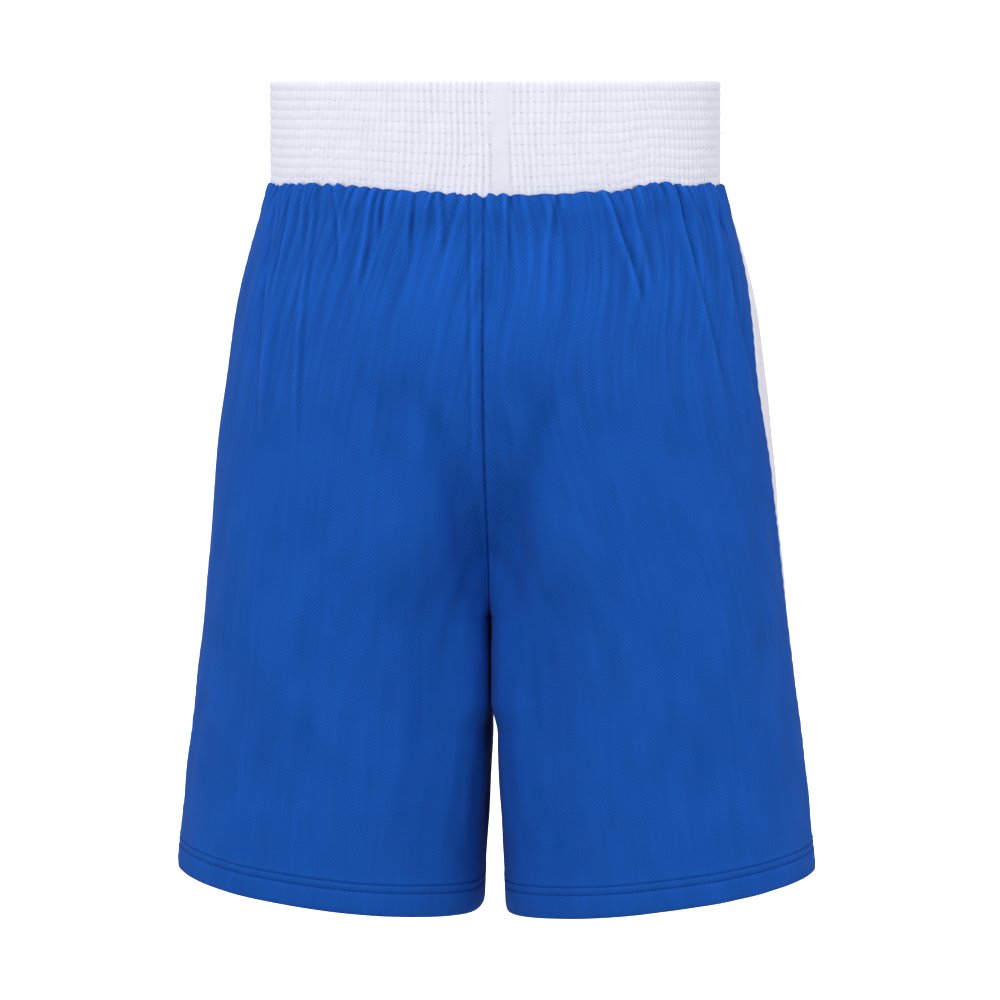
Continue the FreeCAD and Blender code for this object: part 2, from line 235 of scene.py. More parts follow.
def placed_fold(x, drop, fold):
    """One fold of the tables above, as a lift of the cloth."""
    (top, middle, bottom), width, height, bearing = fold
    t = (drop - top[1]) / (bottom[1] - top[1])
    bend = (middle[1] - top[1]) / (bottom[1] - top[1])
    start = top[0] * (t - bend) * (t - 1) / bend
    line = start + middle[0] * t * (t - 1) / (bend * (bend - 1)) + bottom[0] * t * (t - bend) / (1 - bend)
    rise = 1 if top[1] < BAND_HEIGHT else smooth(t / 0.3)
    fade = rise * smooth((1 - t) / 0.45)
    spread = width * (1 + 0.5 * np.clip(t, 0, 1))
    q = bearing * (x - line) / spread
    profile = fold_profile(q) if height > 0 else hill(q, 0, 1)
    return height * fade * profile


def gathers(angle, drop, rng, count, lengths, heights, widths):
    """Random folds that start at the waist seam and die out downwards."""
    lift = np.zeros_like(angle)
    reach = 1.75
    mean_radius = 120
    below = drop - BAND_HEIGHT
    places = np.linspace(-reach, reach, count) + rng.uniform(-0.4, 0.4, count) * 2 * reach / count
    for place in places:
        length, width = rng.uniform(*lengths), rng.uniform(*widths)
        height, drift = rng.uniform(*heights), rng.uniform(-0.0006, 0.0006)
        bearing = rng.choice((-1, 1))
        spread = width * (1 + below / length)
        q = bearing * (angle - place - drift * below) * mean_radius / spread
        lift += height * (1 - smooth(below / length)) * fold_profile(q)
    return lift


def undulation(angle, drop, rng):
    """Broad soft waves that grow towards the hem."""
    lift = np.zeros_like(angle)
    for waves in (3, 5, 8):
        start, lean = rng.uniform(0, 2 * math.pi), rng.uniform(-0.002, 0.002)
        lift += 3.0 / waves * np.sin(waves * angle + start + lean * waves * drop)
    return lift * smooth((drop - 200) / 300)


def crumple(angle, drop, rng):
    """Faint irregular ripples all over."""
    lift = np.zeros_like(angle)
    for _ in range(14):
        round_it, down = rng.uniform(4, 26), rng.uniform(-0.12, 0.12)
        lift += 0.11 * np.sin(round_it * angle + down * drop + rng.uniform(0, 6.3))
    return lift


def seam_distance(side, angle, drop):
    """How far the nearest seam is over the cloth, in mm."""
    depth = eased(drop, 3)
    to_back_edge = np.abs(angle - stripe_angle(side, drop)) * depth
    to_front_edge = np.abs(angle - stripe_angle(side, drop, STRIPE_WIDTH)) * depth
    to_inner = np.abs(inner_angle(drop) - np.abs(angle)) * depth
    return np.minimum(np.minimum(to_back_edge, to_front_edge), to_inner)


def seat_hollow(x, drop):
    """The depth of the hollow under the seat, which narrows down to the fork."""
    depth, middle = 15, -6
    widest, narrowest = 58, 18
    down = smooth((drop - 172) / 120) * (1 - smooth((drop - 300) / 62))
    width = np.clip(widest - 0.3 * (drop - 190), narrowest, widest)
    return depth * down * hill(x, middle, width)


def sewn_down(side, angle, drop, lift):
    """The lift, flattened beside the seams, with the pucker and groove of their stitching."""
    distance = seam_distance(side, angle, drop)
    pucker = 0.35 * np.sin(drop * 0.62 + 1.7 * np.sin(drop * 0.11)) * np.exp(-distance / 5)
    return lift * smooth(distance / 10 + 0.3) + pucker - 0.9 * hill(distance, 0, 1.2)


def held_at_waist(side, plain, facing, drop, lift):
    """The lift, kept shallow at the waist seam, with the cloth's puff below the band and its tucked edge."""
    below = drop - waist_seam(*on_band_at(side, plain))
    deepest = -0.6 - 1.5 * np.maximum(below, 0)
    puff = (0.4 + 2.0 * np.abs(facing)) * hill(below, 9, 9)
    tuck = 2.0 * np.exp(-np.maximum(below + 0.6, 0) / 0.5)
    return np.maximum(lift, deepest) + puff - tuck


def hemmed(side, angle, drop, lift):
    """The lift, calmed by the hem, with the flare of the outer side and the hem's two stitched grooves."""
    above_hem = HEM - drop
    flare = 2.2 * smooth((drop - 320) / 200) + (0.8 - 0.5 * side) * smooth((drop - 70) / 60)
    lift = lift * (0.5 + 0.5 * smooth((above_hem - 6) / 60))
    lift += smooth(np.cos(angle) * 2) * flare
    for row in HEM_ROWS:
        lift -= 0.8 * hill(above_hem, row, 0.8)
    doubled = 0.5 * smooth((HEM_TURN + 1 - above_hem) / 2)
    folded_edge = 0.7 * np.exp(-above_hem / 0.7)
    return lift + doubled - folded_edge


def relief(side, angle, drop):
    """How far the cloth stands proud of the plain surface, in mm."""
    rng = np.random.default_rng(11 if side > 0 else 23)
    plain = on_tube(angle, drop)
    x = side * plain[..., 0]
    facing = np.sin(angle)
    back, front = smooth((facing - 0.02) / 0.2), smooth((-facing - 0.02) / 0.2)

    lift = gathers(angle, drop, rng, 70, (10, 50), (0.4, 1.1), (1.2, 2.0))
    lift += gathers(angle, drop, rng, 22, (45, 120), (0.5, 1.3), (2.4, 4))
    long_folds = gathers(angle, drop, rng, 9, (150, 300), (1.2, 2.2), (5, 9))
    lift += long_folds * (1 - back)
    lift += back * sum(placed_fold(x, drop, fold) for fold in BACK_FOLDS)
    lift += front * sum(placed_fold(x, drop, fold) for fold in FRONT_FOLDS)
    lift += back * 5.0 * hill(np.abs(x), 62, 46) * hill(drop, 175, 50)
    lift += undulation(angle, drop, rng) + crumple(angle, drop, rng)

    lift = sewn_down(side, angle, drop, lift)
    lift -= back * seat_hollow(x, drop)
    lift = held_at_waist(side, plain, facing, drop, lift)
    return hemmed(side, angle, drop, lift)


def on_band_at(side, plain):
    """The place on the waistband's oval nearest over a place on the tube."""
    x, y = side * plain[..., 0], plain[..., 1]
    scale = np.hypot(x / BAND_HALF_WIDTH, y / BAND_HALF_DEPTH)
    return x / scale, y / scale


def squared_corners(angle, drop):
    """How far the corners of the inner thigh stand to the back and the front of the tube's oval, in mm."""
    turn = np.arctan2(np.sin(angle), np.cos(angle))
    at_corner = smooth((np.abs(turn) - 2.18) / 0.84) * smooth((math.pi - np.abs(turn)) / 0.21)
    from_fork = smooth((drop - FORK + 50) / 50)
    towards_hem = 1 - 0.7 * smooth((drop - HEM + 120) / 120)
    return 0.27 * eased(drop, 3) * at_corner * from_fork * towards_hem * np.sign(turn)


def on_cloth(side, angle, drop, depth=0.0):
    """Points of the finished cloth in metres, at a depth under its outer face."""
    plain = on_tube(angle, drop)
    push = outward(angle, drop) * (relief(side, angle, drop) - depth)[..., None]
    free = smooth(plain[..., 0] / 14)
    push[..., 0] *= free + (1 - free) * smooth((drop - FORK) / 25)
    points = plain + push
    points[..., 1] += squared_corners(angle, drop)
    touch = smooth((TOUCH_UNTIL - drop) / 22) * smooth((drop - FORK + 25) / 45)
    touch *= hill(plain[..., 1], 2, 50) * (plain[..., 0] < 40)
    points[..., 0] -= touch * np.maximum(points[..., 0] - THIGH_GAP - depth, 0)
    nearest = THIGH_GAP * smooth((drop - FORK + 6) / 6) + depth
    points[..., 0] = np.maximum(points[..., 0], nearest) * side
    return points * MM


# ---------------------------------------------------------------- meshes


def mesh_object(name, points, faces):
    """An object from points in metres and quads or triangles, smooth shaded."""
    mesh = bpy.data.meshes.new(name)
    sides = faces.shape[1]
    mesh.vertices.add(len(points))
    mesh.vertices.foreach_set("co", np.asarray(points, np.float32).reshape(-1))
    mesh.loops.add(faces.size)
    mesh.loops.foreach_set("vertex_index", faces.reshape(-1))
    mesh.polygons.add(len(faces))
    mesh.polygons.foreach_set("loop_start", np.arange(0, faces.size, sides))
    mesh.polygons.foreach_set("use_smooth", np.ones(len(faces), bool))
    mesh.update(calc_edges=True)
    obj = bpy.data.objects.new(name, mesh)
    bpy.context.collection.objects.link(obj)
    return obj


def grid_mesh(name, points, across, along, closed=False):
    """Quads on rows of points, with the cloth's own coordinates in millimetres as a UV map."""
    rows, columns = points.shape[:2]
    index = np.arange(rows * columns).reshape(rows, columns)
    place = np.stack(np.broadcast_arrays(across, along), axis=-1)
    if closed:
        index = np.concatenate([index, index[:, :1]], axis=1)
        last = place[:, -1:] * 2 - place[:, -2:-1]
        place = np.concatenate([place, last], axis=1)
    ring = ((0, 0), (1, 0), (1, 1), (0, 1))
    high, wide = index.shape[0] - 1, index.shape[1] - 1
    quads = np.stack([index[i : i + high, j : j + wide] for i, j in ring], axis=-1).reshape(-1, 4)
    corners = np.stack([place[i : i + high, j : j + wide] for i, j in ring], axis=2)
    obj = mesh_object(name, points.reshape(-1, 3), quads)
    uv = obj.data.uv_layers.new(name="cloth")
    uv.data.foreach_set("uv", corners.reshape(-1).astype(np.float32))
    return obj


def thicken(obj, thickness, offset=-1):
    """Gives a sheet its thickness, under its face unless the offset says otherwise."""
    solid = obj.modifiers.new("thickness", "SOLIDIFY")
    solid.thickness, solid.offset = thickness * MM, offset
    return obj


def rods(name, middles, along, up, length, radius):
    """Many short rounded rods, such as stitches: their middles, directions and the way their backs face."""
    sides, ends = 6, ((-0.5, 0.35), (-0.3, 0.9), (0.3, 0.9), (0.5, 0.35))
    unit = along / np.linalg.norm(along, axis=1, keepdims=True)
    beside = np.cross(unit, up)
    beside /= np.linalg.norm(beside, axis=1, keepdims=True)
    over = np.cross(beside, unit)
    turns = np.arange(sides) * 2 * math.pi / sides
    rings = []
    for reach, swell in ends:
        spoke = np.cos(turns)[None, :, None] * beside[:, None] + np.sin(turns)[None, :, None] * over[:, None]
        dip = over * (-0.8 * radius if abs(reach) == 0.5 else 0)
        rings.append((middles + unit * reach * length + dip)[:, None] + spoke * radius * swell)
    points = np.stack(rings, axis=1).reshape(-1, 3)
    quads = []
    for ring in range(len(ends) - 1):
        for side in range(sides):
            after = (side + 1) % sides
            low, high = ring * sides, (ring + 1) * sides
            quads.append((low + side, high + side, high + after, low + after))
    last = (len(ends) - 1) * sides
    for base, step in ((0, 1), (last, -1)):
        corners = [base + (step * k) % sides for k in range(sides)]
        quads.append(tuple(corners[k] for k in (0, 1, 2, 3)))
        quads.append(tuple(corners[k] for k in (0, 3, 4, 5)))
    each = np.array(quads)
    faces = (each[None] + (np.arange(len(middles)) * sides * len(ends))[:, None, None]).reshape(-1, 4)
    return mesh_object(name, points * MM, faces)


def cord_along(name, path, radius, closed=False):
    """A thin four-sided thread along points in millimetres."""
    step = np.roll(path, -1, axis=0) - np.roll(path, 1, axis=0)
    if not closed:
        step[0], step[-1] = path[1] - path[0], path[-1] - path[-2]
    unit = step / np.linalg.norm(step, axis=1, keepdims=True)
    helper = np.tile([0.0, 0.0, 1.0], (len(path), 1))
    helper[np.abs(unit[:, 2]) > 0.9] = (1.0, 0.0, 0.0)
    beside = np.cross(unit, helper)
    beside /= np.linalg.norm(beside, axis=1, keepdims=True)
    over = np.cross(beside, unit)
    points = np.stack([path + radius * way for way in (beside, over, -beside, -over)], axis=1)
    index = np.arange(len(path) * 4).reshape(len(path), 4)
    after = np.roll(index, -1, axis=0) if closed else index[1:]
    index = index if closed else index[:-1]
    quads = []
    for k in range(4):
        n = (k + 1) % 4
        quads.append(np.stack([index[:, k], index[:, n], after[:, n], after[:, k]], axis=-1))
    faces = np.concatenate(quads)
    if not closed:
        caps = np.array([[3, 2, 1, 0], np.arange(4) + 4 * (len(path) - 1)])
        faces = np.concatenate([faces, caps])
    return mesh_object(name, points.reshape(-1, 3) * MM, faces)


def join(name, pieces):
    """One object from several."""
    with bpy.context.temp_override(active_object=pieces[0], selected_editable_objects=pieces):
        bpy.ops.object.join()
    pieces[0].name = name
    return pieces[0]


def finish_piece(obj, material, slot, *nodes):
    """Material and the CAD nodes that the piece stands for, which are hidden; the slot is not used."""
    obj.data.materials.clear()
    obj.data.materials.append(material)
    if nodes:
        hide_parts(*nodes)
    return obj


def bend_with_leg(obj):
    """Bakes the piece's transform into its mesh."""
    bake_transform(obj)


# ---------------------------------------------------------------- legs


def back_seam(drop):
    return inner_angle(drop)


def front_seam(drop):
    return -inner_angle(drop)


def stripe_lines(side):
    """The back and front edges of a side's stripe."""
    return lambda drop: stripe_angle(side, drop), lambda drop: stripe_angle(side, drop, STRIPE_WIDTH)


def beside(line, distance):
    """A line on the cloth at a distance from another, towards the back."""
    return lambda drop: line(drop) + distance / eased(drop, 3)


def rows_of_cloth(side, edges, span, columns, pitch):
    """Angles and drops of a grid between two edges, with closer rows at the waist, the fork and the hem.

    Cloth that starts at the waistband follows the waist seam, from a little way under the band.
    """
    across = np.linspace(0, 1, columns)
    top, bottom = span
    high = np.full(columns, float(top))
    down = np.linspace(0, 1, max(3, int((bottom - top) / pitch)))[:, None]
    if top == BAND_HEIGHT:
        start, end = edges[0](high), edges[1](high)
        plain = on_tube(start + across * (end - start), high)
        high = waist_seam(*on_band_at(side, plain)) - 1.8
        close = np.array([0, 1.0, 1.4, 1.8, 2.3, 2.9, 3.6]) / (bottom - top)
        down = np.concatenate([close[:, None], down[2:]])
    drops = high + down * (bottom - high)
    close = [FORK - above for above in (1.4, 0.8, 0.4, 0.15, 0.02)]
    close += [HEM - row + off for row in HEM_ROWS for off in (-1.3, -0.6, 0, 0.6, 1.3)]
    close.append(HEM - 0.5)
    close = np.array([drop for drop in close if top < drop < bottom and bottom > FORK])
    drops = np.sort(np.concatenate([drops, np.repeat(close[:, None], columns, axis=1)]), axis=0)
    start, end = edges[0](drops), edges[1](drops)
    return start + across * (end - start), drops


def set_ridge(obj, height):
    """Keeps on each point how far it stands out from the cloth around it, which the materials paint as
    highlight on ridges and shade in creases.
    """
    most = 1.2
    ridge = obj.data.attributes.new("ridge", "FLOAT", "POINT")
    ridge.data.foreach_set("value", np.clip(height, -most, most).reshape(-1).astype(np.float32))


def leg_cloth(name, side, edges, span, columns, pitch, depth=0.0, closed=False):
    """A grid of cloth of one leg, from its front or inner edge to its back edge."""
    angles, drops = rows_of_cloth(side, edges, span, columns, pitch)
    plain = on_tube(angles, drops)
    steps = np.linalg.norm(np.diff(plain, axis=1), axis=-1)
    across = np.concatenate([np.zeros((len(drops), 1)), np.cumsum(steps, axis=1)], axis=1)
    obj = grid_mesh(name, on_cloth(side, angles, drops, depth), across - across.mean(), drops, closed)
    if depth == 0:
        # height above the cloth around it, which the materials paint as highlight on ridges and shade in
        # creases
        height = relief(side, angles, drops)
        margin = int(4 / steps.mean())
        padded = np.pad(height, ((0, 0), (margin, margin)), mode="edge")
        total = np.cumsum(np.pad(padded, ((0, 0), (1, 0))), axis=1)
        around = (total[:, 2 * margin + 1 :] - total[:, : -2 * margin - 1]) / (2 * margin + 1)
        set_ridge(obj, height - around)
    if side < 0:
        obj.data.flip_normals()
    return obj


def halves(side_name, node):
    return [side_name + "_" + node + part for part in ("_seat", "_leg")]


def panels(blue, white):
    """The back panel, front panel and stripe of each leg, from waistband to hem."""
    for side_name, side in SIDES.items():
        stripe_back, stripe_front = stripe_lines(side)
        pieces = (
            ("back_panel", (stripe_back, back_seam), 330, 3.6, blue, "blue_mesh", (0.36, 0.50), 0.150),
            ("front_panel", (front_seam, stripe_front), 290, 3.6, blue, "blue_mesh", (0.34, 0.50), 0.140),
            ("side_stripe", (stripe_front, stripe_back), 30, 2.2, white, "white_cloth", (0.06, 0.47), None),
        )
        for name, edges, columns, pitch, material, slot, flat, area in pieces:
            obj = leg_cloth(side_name + "_" + name, side, edges, (BAND_HEIGHT, HEM), columns, pitch)
            thicken(obj, CLOTH)
            finish_piece(obj, material, slot, *halves(side_name, name))
            bend_with_leg(obj)


def allowances(overlock):
    """The overlocked seam allowances inside the legs."""
    half = ALLOWANCE / 2
    low = HEM - HEM_TURN - 2
    top = BAND_HEIGHT + 4
    columns, pitch, depth = 9, 2.4, CLOTH + UNDER_CLOTH
    for side_name, side in SIDES.items():
        for name, line in zip(("back_side_seam", "front_side_seam"), stripe_lines(side)):
            edges = (beside(line, -half), beside(line, half))
            obj = leg_cloth(side_name + "_" + name, side, edges, (top, low), columns, pitch, depth)
            thicken(obj, ALLOWANCE_CLOTH)
            finish_piece(obj, overlock, "blue_mesh", *halves(side_name, name))
            bend_with_leg(obj)
        edges = (lambda drop: math.pi - half / eased(drop, 3), lambda drop: math.pi + half / eased(drop, 3))
        obj = leg_cloth(side_name + "_inseam", side, edges, (FORK + 8, low), columns, pitch, depth)
        thicken(obj, ALLOWANCE_CLOTH)
        finish_piece(obj, overlock, "blue_mesh", *halves(side_name, "inseam"))
        bend_with_leg(obj)
    for name, edges in (
        ("centre_back_seam", (beside(back_seam, -half), back_seam)),
        ("centre_front_seam", (front_seam, beside(front_seam, half))),
    ):
        strips = [leg_cloth(name, side, edges, (top, FORK - 1), 6, pitch, depth) for side in SIDES.values()]
        obj = join(name, strips)
        thicken(obj, ALLOWANCE_CLOTH)
        finish_piece(obj, overlock, "blue_mesh", name)
        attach(obj, "hips")


def ring_round_leg(side, above_hem, lift, count):
    """Points round a leg at a height above the hem, lifted from the cloth, with the way out at each."""
    angle = np.arange(count) * 2 * math.pi / count
    drop = np.full(count, HEM - above_hem, float)
    points = on_cloth(side, angle, drop, -lift) / MM
    away = outward(angle, drop) * (side, 1, 1)
    return points, away


def hems(blue, thread):
    """The turned-up cloth, two rows of stitches outside and the looper thread inside."""
    columns, pitch, depth = 300, 2, CLOTH + UNDER_HEM
    around = (lambda drop: 0 * drop - math.pi, lambda drop: 0 * drop + math.pi * (1 - 2 / columns))
    for side_name, side in SIDES.items():
        span = (HEM - HEM_TURN, HEM)
        turn = leg_cloth(side_name + "_hem_turn", side, around, span, columns, pitch, depth, closed=True)
        thicken(turn, CLOTH)
        finish_piece(turn, blue, "blue_mesh", side_name + "_hem_turn")
        bend_with_leg(turn)

        pieces = []
        count = int(HEM_GIRTH / STITCH)
        for above in HEM_ROWS:
            points, away = ring_round_leg(side, above, THREAD * 0.6, count)
            along = np.roll(points, -1, axis=0) - np.roll(points, 1, axis=0)
            pieces.append(rods("stitch_row", points, along, away, STITCH * 0.82, THREAD))
        inner_face = depth + CLOTH
        low, high = (ring_round_leg(side, row, -(inner_face + THREAD), 2 * count)[0] for row in HEM_ROWS)
        middle = ring_round_leg(side, sum(HEM_ROWS) / 2, -(inner_face + 1.5 * THREAD), 2 * count)[0]
        turn_about = np.arange(2 * count)[:, None] % 4
        path = np.select([turn_about == 0, turn_about == 2], [low, high], middle)
        pieces.append(cord_along("looper", path, THREAD * 0.8, closed=True))
        stitching = join(side_name + "_hem_stitching", pieces)
        finish_piece(stitching, thread, "blue_thread", side_name + "_hem_stitching")
        bend_with_leg(stitching)


# ---------------------------------------------------------------- waistband


def band_point(turn, drop, inset):
    """Points on the waistband's oval in mm, inset from its outer face. A turn of 90 degrees is the back."""
    radius_x, radius_y = BAND_HALF_WIDTH - inset, BAND_HALF_DEPTH - inset
    return np.stack(np.broadcast_arrays(radius_x * np.cos(turn), radius_y * np.sin(turn), -drop), axis=-1)


def even_turns(count):
    """Turns at even distances round the oval, and those distances."""
    fine = np.linspace(0, 2 * math.pi, 4001)
    ring = band_point(fine, 0.0, 0)
    girth = np.concatenate([[0], np.cumsum(np.linalg.norm(np.diff(ring, axis=0), axis=1))])
    around = np.arange(count) * girth[-1] / count
    return np.interp(around, girth, fine), around


def band_bottom(turn):
    return waist_seam(BAND_HALF_WIDTH * np.cos(turn), BAND_HALF_DEPTH * np.sin(turn))


def off_join(turn):
    """1 on the band and 0 on the smooth strip where its ends are joined."""
    x = BAND_HALF_WIDTH * np.cos(turn)
    near, far = JOIN
    return 1 - smooth((x - far + 1) / 2) * smooth((near + 1 - x) / 2) * (np.sin(turn) > 0)


def channel(height):
    """A quilted channel's bulge, 0 at its stitching, at a height from 0 to 1 down the band."""
    return np.abs(np.sin(math.pi * CHANNELS * height)) ** 0.7


def band_lift(turn, around, height, rng):
    """How far the band's quilted cloth stands out: channels, fine upright ribs, and flat at the join."""
    ribbed = off_join(turn)
    wander = np.zeros(np.broadcast(turn, height).shape)
    for _ in range(6):
        along, down, start = rng.uniform(0.01, 0.09), rng.uniform(-6, 6), rng.uniform(0, 6.3)
        wander += 0.55 * np.sin(around * along + height * down + start)
    lean = RIB_LEAN * np.cos(turn) * height
    rib = np.sin(2 * math.pi * (around + lean) / RIB_PITCH + wander)
    uneven = 0.85 + 0.25 * np.sin(around * 0.31 + 3 * height) * np.sin(around * 0.087 - 4 * height)
    flank = 0.15 + 0.85 * np.abs(np.cos(turn)) ** 1.5
    bulge = 0.48 * channel(height) * flank * (0.85 + 0.1 * np.sin(around * 0.23 + height * 31))
    depth = 0.3 + 0.28 * np.sin(turn) ** 8
    ribs = depth * uneven * rib * ribbed * (1 - 0.4 * flank * (1 - channel(height)))
    return bulge * (0.1 + 0.9 * ribbed) + ribs - 0.25 * (1 - ribbed)


def band_outer(white):
    """The outer cloth, which rolls over the top edge to meet the lining."""
    turn, around = even_turns(1100)
    height = np.linspace(0, 1, CHANNELS * 7 + 1)[:, None]
    bottom = band_bottom(turn)
    drop = height * bottom
    lift = band_lift(turn, around, height, np.random.default_rng(5))
    x = BAND_HALF_WIDTH * np.cos(turn)
    join_grooves = 0.25 * sum(hill(x, edge, 0.7) for edge in JOIN) * (np.sin(turn) > 0)
    round_top, round_bottom = 1.5 * np.exp(-drop / 0.9), 0.1 * np.exp(-(bottom - drop) / 0.6)
    inset = 0.5 - lift + join_grooves + round_top + round_bottom
    outside = band_point(turn, drop, inset)
    over = [band_point(turn, d, i) for d, i in ((4.0, 2.9), (1.0, 2.8), (0.1, 2.5))]
    points = np.concatenate([over, outside, [band_point(turn, bottom + 1.2, 2.4)]])
    obj = grid_mesh("waistband_outer", points[:, ::-1] * MM, around, -points[:, ::-1, 2], closed=True)
    obj.data.flip_normals()
    # the ribs' and channels' height, which the white cloth paints as highlight on the ribs and shade in the
    # grooves
    rise = np.concatenate([lift[[0] * len(over)], lift, lift[-1:]])[:, ::-1]
    set_ridge(obj, rise - rise.mean())
    finish_piece(obj, white, "white_cloth", "waistband_outer")
    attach(obj, "hips")


def band_lining(lining):
    """The lining inside, quilted by the same rows."""
    turn, around = even_turns(700)
    height = np.linspace(0, 1, CHANNELS * 5 + 1)[:, None]
    top = 1.8
    drop = top + height * (band_bottom(turn) - 1.0 - top)
    swell = 0.35 * channel(drop / BAND_HEIGHT) + 0.12 * np.sin(2 * math.pi * around / RIB_PITCH)
    points = band_point(turn, drop, BAND_THICKNESS - 0.3 + swell)
    obj = grid_mesh("waistband_lining", points * MM, around, drop + 0 * around, closed=True)
    thicken(obj, 0.35)
    finish_piece(obj, lining, "lining_cloth", "waistband_lining")
    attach(obj, "hips")


def band_stitching(thread):
    """Ten rows of stitches in the grooves between the channels, and two upright rows at the join."""
    count = int(BAND_GIRTH / STITCH)
    turn, _ = even_turns(count)
    pieces = []
    for row in range(1, CHANNELS):
        shift = (row % 3) * 2 * math.pi / count / 3
        place = turn + shift
        drop = band_bottom(place) * row / CHANNELS
        inset = 1.1 - 0.75 * off_join(place)
        points = band_point(place, drop, inset)
        along = band_point(place + 0.005, drop, 0.35) - band_point(place - 0.005, drop, 0.35)
        away = points * (1, (BAND_HALF_WIDTH / BAND_HALF_DEPTH) ** 2, 0)
        pieces.append(rods("row", points, along, away, STITCH * 0.8, THREAD * 0.8))
    rows = join("waistband_stitching", pieces)
    finish_piece(rows, thread, "white_thread", "waistband_stitching")
    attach(rows, "hips")

    pieces = []
    for x in JOIN:
        drop = np.arange(2, BAND_HEIGHT, STITCH * 0.9)
        turn = np.full(len(drop), math.acos(x / BAND_HALF_WIDTH))
        inset = 0.7 - 0.06 * channel(drop / BAND_HEIGHT)
        points = band_point(turn, drop, inset)
        down = np.tile([0.0, 0.0, -1.0], (len(drop), 1))
        away = np.tile([0.0, 1.0, 0.0], (len(drop), 1))
        pieces.append(rods("line", points, down, away, STITCH * 0.75, THREAD * 0.8))
    lines = join("band_join_stitching", pieces)
    finish_piece(lines, thread, "white_thread", "band_join_stitching")
    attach(lines, "hips")


def inside_band(blue, white, overlock, thread, label_cloth, elastic):
    """What is inside the band: join allowance, gathered waist allowance, overlock thread, elastic, label."""
    turn, around = even_turns(900)
    height = np.linspace(0, 1, 6)[:, None]
    bottom = band_bottom(turn)
    drop = bottom - 9 + height * 9.5
    rng = np.random.default_rng(8)
    pleat = sum(0.3 * np.sin(around * rng.uniform(0.5, 1.4) + rng.uniform(0, 6.3)) for _ in range(5))
    points = band_point(turn, drop, BAND_THICKNESS + 0.9 + pleat * (0.4 + 0.6 * height) * 0.6)
    obj = grid_mesh("waist_seam_allowance", points * MM, around, drop, closed=True)
    thicken(obj, 0.8)
    finish_piece(obj, blue, "blue_mesh", "waist_seam_allowance")
    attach(obj, "hips")

    count = 2 * int(BAND_GIRTH / OVERLOCK_LOOP)
    turn, around = even_turns(count)
    zig = np.arange(count) % 2
    drop = band_bottom(turn) - 9.3 + 5.5 * zig
    path = band_point(turn, drop, BAND_THICKNESS + 2.3)
    obj = cord_along("waist_overlock_thread", path, THREAD, closed=True)
    finish_piece(obj, thread, "white_thread", "waist_overlock_thread")
    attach(obj, "hips")

    near, far = JOIN
    x = np.linspace(far, near, 9)
    turn = np.arccos(x / (BAND_HALF_WIDTH - BAND_THICKNESS))
    drop = np.linspace(4, 56, 27)[:, None]
    wave = 0.12 * np.sin(drop * 1.9) * np.abs(np.linspace(-1, 1, 9))
    obj = grid_mesh("band_join_allowance", band_point(turn, drop, BAND_THICKNESS + 0.35 + wave) * MM, x, drop)
    thicken(obj, 0.8, 1)
    finish_piece(obj, white, "white_cloth", "band_join_allowance")
    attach(obj, "hips")

    across, down = np.meshgrid(np.linspace(-1, 1, 25), np.linspace(0, 1, 19))
    from_end = np.minimum(down, 1 - down) * LABEL_HEIGHT
    short_of_round = LABEL_CORNER - np.minimum(from_end, LABEL_CORNER)
    cut = LABEL_CORNER - np.sqrt(np.maximum(0, LABEL_CORNER**2 - short_of_round**2))
    x = across * (LABEL_HALF_WIDTH - cut)
    curl = 0.5 * down**2 - 0.25 * np.sin(3 * across) * down + 0.4 * across**2
    y = BAND_HALF_DEPTH - LABEL_INSET - 0.35 - curl
    points = np.stack([x, y, -LABEL_DROP - down * LABEL_HEIGHT], axis=-1)
    obj = grid_mesh("size_label", points * MM, x, down * LABEL_HEIGHT)
    thicken(obj, 0.35, 0)
    finish_piece(obj, label_cloth, "label_satin", "size_label")
    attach(obj, "hips")

    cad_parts["waistband_elastic"].material_slots[0].material = elastic


# ---------------------------------------------------------------- materials


def new_material(name, color, roughness, sheen=0.0, specular=0.4):
    """A material with its shader's own numbers set."""
    material = bpy.data.materials.new(name)
    material.use_nodes = True
    shader = material.node_tree.nodes["Principled BSDF"]
    shader.inputs["Base Color"].default_value = (*color, 1)
    shader.inputs["Roughness"].default_value = roughness
    shader.inputs["Specular IOR Level"].default_value = specular
    shader.inputs["Sheen Weight"].default_value = sheen
    shader.inputs["Sheen Roughness"].default_value = 0.4
    return material, material.node_tree, shader


def math_node(tree, operation, *values):
    """A Math node's output, where each value is a number or another node's output."""
    node = tree.nodes.new("ShaderNodeMath")
    node.operation = operation
    for socket, value in zip(node.inputs, values):
        if isinstance(value, bpy.types.NodeSocket):
            tree.links.new(value, socket)
        else:
            socket.default_value = value
    return node.outputs[0]


def cloth_coordinates(tree):
    """The cloth's own coordinates in millimetres, across and along."""
    place = tree.nodes.new("ShaderNodeUVMap")
    place.uv_map = "cloth"
    split = tree.nodes.new("ShaderNodeSeparateXYZ")
    tree.links.new(place.outputs[0], split.inputs[0])
    return place.outputs[0], split.outputs[0], split.outputs[1]


def wave(tree, value, pitch):
    return math_node(tree, "COSINE", math_node(tree, "MULTIPLY", value, 2 * math.pi / pitch))


def noise(tree, vector, scale, detail=2.0):
    node = tree.nodes.new("ShaderNodeTexNoise")
    node.inputs["Scale"].default_value = scale
    node.inputs["Detail"].default_value = detail
    tree.links.new(vector, node.inputs["Vector"])
    return node.outputs[0]


def tint(tree, shader, factor, dark, light):
    """Base colour from dark to light by a factor."""
    mix = tree.nodes.new("ShaderNodeMix")
    mix.data_type = "RGBA"
    mix.inputs[6].default_value, mix.inputs[7].default_value = (*dark, 1), (*light, 1)
    tree.links.new(factor, mix.inputs[0])
    tree.links.new(mix.outputs[2], shader.inputs["Base Color"])


